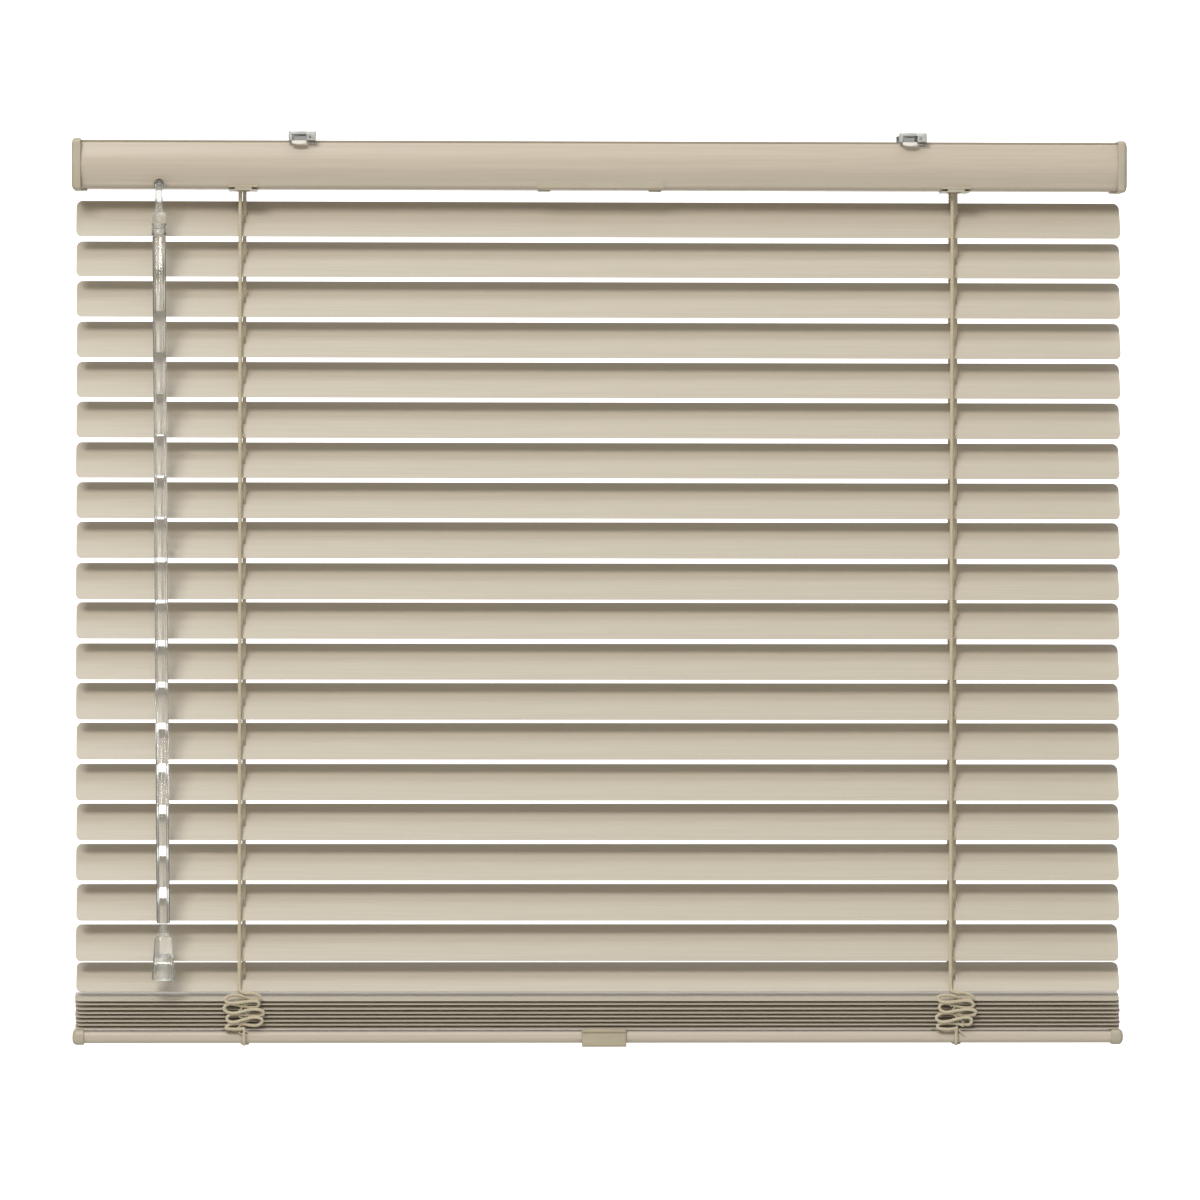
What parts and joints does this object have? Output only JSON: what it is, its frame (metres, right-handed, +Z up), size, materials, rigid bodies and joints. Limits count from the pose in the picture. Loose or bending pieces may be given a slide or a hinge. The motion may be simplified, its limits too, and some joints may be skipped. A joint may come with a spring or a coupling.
{
  "type": "venetian blind",
  "caption": "Cordless horizontal slat blind: open-topped headrail with snap-in brackets, worm tilter with clear wand, curved slats on ladders, spring lift and weighted bottom rail.",
  "frame": {"origin": "middle of the plane of the two bracket tops, over the headrail's centre line", "axes": "+X along the blind's width to the right seen from the room, -Y out of the front into the room, +Z up"},
  "size_m": [0.6, 0.0452, 0.5199],
  "materials": {
    "slat_enamel": "cream baked enamel, satin",
    "rail_enamel": "cream enamel, satin",
    "cream_plastic": "moulded, semi-gloss",
    "clear_plastic": "clear, polished",
    "ladder_string": "braided polyester",
    "lift_cord": "braided polyester",
    "rod_steel": "bright drawn",
    "spring_steel": "blued strip",
    "white_plastic": "moulded"
  },
  "bodies": {
    "root": {"headrail": "rail_enamel", "headrail_cap_left": "cream_plastic", "headrail_cap_right": "cream_plastic", "bracket_left": "clear_plastic", "bracket_right": "clear_plastic", "tilter_housing": "white_plastic", "cradle_left": "white_plastic", "cradle_right": "white_plastic", "motor_tray": "white_plastic", "lift_cord_left": "lift_cord", "lift_cord_right": "lift_cord"},
    "tilt_rod": {"tilt_rod": "rod_steel", "ladder_drum_left": "white_plastic", "ladder_drum_right": "white_plastic", "worm_wheel": "white_plastic"},
    "worm": {"worm": "white_plastic"},
    "wand_hook": {"wand_hook": "clear_plastic"},
    "wand_connector": {"wand_connector": "clear_plastic"},
    "wand": {"wand": "clear_plastic", "wand_grip": "clear_plastic"},
    "lift_spool": {"lift_spool": "white_plastic"},
    "spring_drum": {"spring_drum": "spring_steel"},
    "bottom_rail": {"bottom_rail": "rail_enamel", "bottom_cap_left": "cream_plastic", "bottom_cap_right": "cream_plastic", "bottom_handle": "cream_plastic", "ladder_tail_left": "ladder_string", "ladder_tail_right": "ladder_string"},
    "ladder_front": {"ladder_front_left": "ladder_string", "ladder_front_right": "ladder_string"},
    "ladder_back": {"ladder_back_left": "ladder_string", "ladder_back_right": "ladder_string"},
    "slat_01": {"slat_01": "slat_enamel"},
    "slat_02": {"slat_02": "slat_enamel"},
    "slat_03": {"slat_03": "slat_enamel"},
    "slat_04": {"slat_04": "slat_enamel"},
    "slat_05": {"slat_05": "slat_enamel"},
    "slat_06": {"slat_06": "slat_enamel"},
    "slat_07": {"slat_07": "slat_enamel"},
    "slat_08": {"slat_08": "slat_enamel"},
    "slat_09": {"slat_09": "slat_enamel"},
    "slat_10": {"slat_10": "slat_enamel"},
    "slat_11": {"slat_11": "slat_enamel"},
    "slat_12": {"slat_12": "slat_enamel"},
    "slat_13": {"slat_13": "slat_enamel"},
    "slat_14": {"slat_14": "slat_enamel"},
    "slat_15": {"slat_15": "slat_enamel"},
    "slat_16": {"slat_16": "slat_enamel"},
    "slat_17": {"slat_17": "slat_enamel"},
    "slat_18": {"slat_18": "slat_enamel"},
    "slat_19": {"slat_19": "slat_enamel"},
    "slat_20": {"slat_20": "slat_enamel"},
    "stacked_slat_01": {"stacked_slat_01": "slat_enamel"},
    "stacked_slat_02": {"stacked_slat_02": "slat_enamel"},
    "stacked_slat_03": {"stacked_slat_03": "slat_enamel"},
    "stacked_slat_04": {"stacked_slat_04": "slat_enamel"},
    "stacked_slat_05": {"stacked_slat_05": "slat_enamel"},
    "stacked_slat_06": {"stacked_slat_06": "slat_enamel"},
    "stacked_slat_07": {"stacked_slat_07": "slat_enamel"},
    "stacked_slat_08": {"stacked_slat_08": "slat_enamel"}
  },
  "joints": [
    {"name": "tilt", "type": "hinge", "parent": "root", "child": "tilt_rod", "pos_m": [0, 0, -0.012], "axis": [1, 0, 0], "range_deg": [-190.1, 28.9]},
    {"name": "slat_01_tilt", "type": "hinge", "parent": "root", "child": "slat_01", "pos_m": [0, 0, -0.04772], "axis": [1, 0, 0], "range_deg": [-125.5, 19.5]},
    {"name": "slat_02_tilt", "type": "hinge", "parent": "root", "child": "slat_02", "pos_m": [0, 0, -0.07059], "axis": [1, 0, 0], "range_deg": [-125.5, 19.5]},
    {"name": "slat_03_tilt", "type": "hinge", "parent": "root", "child": "slat_03", "pos_m": [0, 0, -0.09346], "axis": [1, 0, 0], "range_deg": [-125.5, 19.5]},
    {"name": "slat_04_tilt", "type": "hinge", "parent": "root", "child": "slat_04", "pos_m": [0, 0, -0.11633], "axis": [1, 0, 0], "range_deg": [-125.5, 19.5]},
    {"name": "slat_05_tilt", "type": "hinge", "parent": "root", "child": "slat_05", "pos_m": [0, 0, -0.1392], "axis": [1, 0, 0], "range_deg": [-125.5, 19.5]},
    {"name": "slat_06_tilt", "type": "hinge", "parent": "root", "child": "slat_06", "pos_m": [0, 0, -0.16207], "axis": [1, 0, 0], "range_deg": [-125.5, 19.5]},
    {"name": "slat_07_tilt", "type": "hinge", "parent": "root", "child": "slat_07", "pos_m": [0, 0, -0.18494], "axis": [1, 0, 0], "range_deg": [-125.5, 19.5]},
    {"name": "slat_08_tilt", "type": "hinge", "parent": "root", "child": "slat_08", "pos_m": [0, 0, -0.20781], "axis": [1, 0, 0], "range_deg": [-125.5, 19.5]},
    {"name": "slat_09_tilt", "type": "hinge", "parent": "root", "child": "slat_09", "pos_m": [0, 0, -0.23068], "axis": [1, 0, 0], "range_deg": [-125.5, 19.5]},
    {"name": "slat_10_tilt", "type": "hinge", "parent": "root", "child": "slat_10", "pos_m": [0, 0, -0.25355], "axis": [1, 0, 0], "range_deg": [-125.5, 19.5]},
    {"name": "slat_11_tilt", "type": "hinge", "parent": "root", "child": "slat_11", "pos_m": [0, 0, -0.27642], "axis": [1, 0, 0], "range_deg": [-125.5, 19.5]},
    {"name": "slat_12_tilt", "type": "hinge", "parent": "root", "child": "slat_12", "pos_m": [0, 0, -0.29929], "axis": [1, 0, 0], "range_deg": [-125.5, 19.5]},
    {"name": "slat_13_tilt", "type": "hinge", "parent": "root", "child": "slat_13", "pos_m": [0, 0, -0.32216], "axis": [1, 0, 0], "range_deg": [-125.5, 19.5]},
    {"name": "slat_14_tilt", "type": "hinge", "parent": "root", "child": "slat_14", "pos_m": [0, 0, -0.34503], "axis": [1, 0, 0], "range_deg": [-125.5, 19.5]},
    {"name": "slat_15_tilt", "type": "hinge", "parent": "root", "child": "slat_15", "pos_m": [0, 0, -0.3679], "axis": [1, 0, 0], "range_deg": [-125.5, 19.5]},
    {"name": "slat_16_tilt", "type": "hinge", "parent": "root", "child": "slat_16", "pos_m": [0, 0, -0.39077], "axis": [1, 0, 0], "range_deg": [-125.5, 19.5]},
    {"name": "slat_17_tilt", "type": "hinge", "parent": "root", "child": "slat_17", "pos_m": [0, 0, -0.41364], "axis": [1, 0, 0], "range_deg": [-125.5, 19.5]},
    {"name": "slat_18_tilt", "type": "hinge", "parent": "root", "child": "slat_18", "pos_m": [0, 0, -0.43651], "axis": [1, 0, 0], "range_deg": [-125.5, 19.5]},
    {"name": "slat_19_tilt", "type": "hinge", "parent": "root", "child": "slat_19", "pos_m": [0, 0, -0.45938], "axis": [1, 0, 0], "range_deg": [-125.5, 19.5]},
    {"name": "slat_20_tilt", "type": "hinge", "parent": "root", "child": "slat_20", "pos_m": [0, 0, -0.47883], "axis": [1, 0, 0], "range_deg": [-75.5, 11.9]},
    {"name": "ladder_front_shift", "type": "hinge", "parent": "slat_01", "child": "ladder_front", "pos_m": [0, -0.00675, -0.06042], "axis": [1, 0, 0], "range_deg": [-19.5, 125.5], "deforming": ["ladder_front_left", "ladder_front_right"]},
    {"name": "ladder_back_shift", "type": "hinge", "parent": "slat_01", "child": "ladder_back", "pos_m": [0, 0.00999, -0.03738], "axis": [1, 0, 0], "range_deg": [-19.5, 125.5], "deforming": ["ladder_back_left", "ladder_back_right"]},
    {"name": "worm_spin", "type": "hinge", "parent": "root", "child": "worm", "pos_m": [-0.25, 0.00368, -0.01988], "axis": [0, 0.9063, 0.4226], "range_deg": [-1332.7, 204.3]},
    {"name": "wand_swing_forward", "type": "hinge", "parent": "root", "child": "wand_hook", "pos_m": [-0.25, -0.02, -0.03093], "axis": [1, 0, 0], "range_deg": [-30, 0]},
    {"name": "wand_swing_side", "type": "hinge", "parent": "wand_hook", "child": "wand_connector", "pos_m": [-0.25, -0.02, -0.04343], "axis": [0, 1, 0], "range_deg": [-20, 20]},
    {"name": "wand_spin", "type": "hinge", "parent": "wand_connector", "child": "wand", "pos_m": [-0.25, -0.02, -0.04343], "axis": [-0.007, 0, 1], "range_deg": [-1332.7, 204.3]},
    {"name": "lift", "type": "slide", "parent": "root", "child": "bottom_rail", "axis": [0, 0, 1], "range_m": [-0.1757, 0], "deforming": ["lift_cord_left", "lift_cord_right", "ladder_tail_left", "ladder_tail_right"]},
    {"name": "stacked_slat_01_drop", "type": "slide", "parent": "root", "child": "stacked_slat_01", "axis": [0, 0, 1], "range_m": [-0.0135, 0.0002]},
    {"name": "stacked_slat_02_drop", "type": "slide", "parent": "root", "child": "stacked_slat_02", "axis": [0, 0, 1], "range_m": [-0.0342, 0.0002]},
    {"name": "stacked_slat_03_drop", "type": "slide", "parent": "root", "child": "stacked_slat_03", "axis": [0, 0, 1], "range_m": [-0.0548, 0.0002]},
    {"name": "stacked_slat_04_drop", "type": "slide", "parent": "root", "child": "stacked_slat_04", "axis": [0, 0, 1], "range_m": [-0.0755, 0.0002]},
    {"name": "stacked_slat_05_drop", "type": "slide", "parent": "root", "child": "stacked_slat_05", "axis": [0, 0, 1], "range_m": [-0.0962, 0.0002]},
    {"name": "stacked_slat_06_drop", "type": "slide", "parent": "root", "child": "stacked_slat_06", "axis": [0, 0, 1], "range_m": [-0.1169, 0.0002]},
    {"name": "stacked_slat_07_drop", "type": "slide", "parent": "root", "child": "stacked_slat_07", "axis": [0, 0, 1], "range_m": [-0.1376, 0.0002]},
    {"name": "stacked_slat_08_drop", "type": "slide", "parent": "root", "child": "stacked_slat_08", "axis": [0, 0, 1], "range_m": [-0.1583, 0.0002]},
    {"name": "lift_spool_spin", "type": "hinge", "parent": "root", "child": "lift_spool", "pos_m": [-0.012, 0, -0.024], "axis": [0, 0, 1], "range_deg": [-1381.2, 2]},
    {"name": "spring_drum_spin", "type": "hinge", "parent": "root", "child": "spring_drum", "pos_m": [0.012, 0, -0.02], "axis": [0, 0, 1], "range_deg": [-2, 1381.2]}
  ],
  "couplings": [
    {"joint": "slat_01_tilt", "follows": "tilt", "ratio": 0.6575},
    {"joint": "slat_02_tilt", "follows": "tilt", "ratio": 0.6575},
    {"joint": "slat_03_tilt", "follows": "tilt", "ratio": 0.6575},
    {"joint": "slat_04_tilt", "follows": "tilt", "ratio": 0.6575},
    {"joint": "slat_05_tilt", "follows": "tilt", "ratio": 0.6575},
    {"joint": "slat_06_tilt", "follows": "tilt", "ratio": 0.6575},
    {"joint": "slat_07_tilt", "follows": "tilt", "ratio": 0.6575},
    {"joint": "slat_08_tilt", "follows": "tilt", "ratio": 0.6575},
    {"joint": "slat_09_tilt", "follows": "tilt", "ratio": 0.6575},
    {"joint": "slat_10_tilt", "follows": "tilt", "ratio": 0.6575},
    {"joint": "slat_11_tilt", "follows": "tilt", "ratio": 0.6575},
    {"joint": "slat_12_tilt", "follows": "tilt", "ratio": 0.6575},
    {"joint": "slat_13_tilt", "follows": "tilt", "ratio": 0.6575},
    {"joint": "slat_14_tilt", "follows": "tilt", "ratio": 0.6575},
    {"joint": "slat_15_tilt", "follows": "tilt", "ratio": 0.6575},
    {"joint": "slat_16_tilt", "follows": "tilt", "ratio": 0.6575},
    {"joint": "slat_17_tilt", "follows": "tilt", "ratio": 0.6575},
    {"joint": "slat_18_tilt", "follows": "tilt", "ratio": 0.6575},
    {"joint": "slat_19_tilt", "follows": "tilt", "ratio": 0.6575},
    {"joint": "slat_20_tilt", "follows": "tilt", "ratio": 0.3945},
    {"joint": "ladder_front_shift", "follows": "tilt", "ratio": -0.6575},
    {"joint": "ladder_back_shift", "follows": "tilt", "ratio": -0.6575},
    {"joint": "worm_spin", "follows": "tilt", "ratio": 7},
    {"joint": "wand_spin", "follows": "tilt", "ratio": 7},
    {"joint": "stacked_slat_01_drop", "follows": "lift", "ratio": 0.0755},
    {"joint": "stacked_slat_02_drop", "follows": "lift", "ratio": 0.1933},
    {"joint": "stacked_slat_03_drop", "follows": "lift", "ratio": 0.311},
    {"joint": "stacked_slat_04_drop", "follows": "lift", "ratio": 0.4288},
    {"joint": "stacked_slat_05_drop", "follows": "lift", "ratio": 0.5465},
    {"joint": "stacked_slat_06_drop", "follows": "lift", "ratio": 0.6642},
    {"joint": "stacked_slat_07_drop", "follows": "lift", "ratio": 0.782},
    {"joint": "stacked_slat_08_drop", "follows": "lift", "ratio": 0.8997},
    {"joint": "lift_spool_spin", "follows": "lift", "rad_per_m": 137},
    {"joint": "spring_drum_spin", "follows": "lift", "rad_per_m": -137}
  ]
}
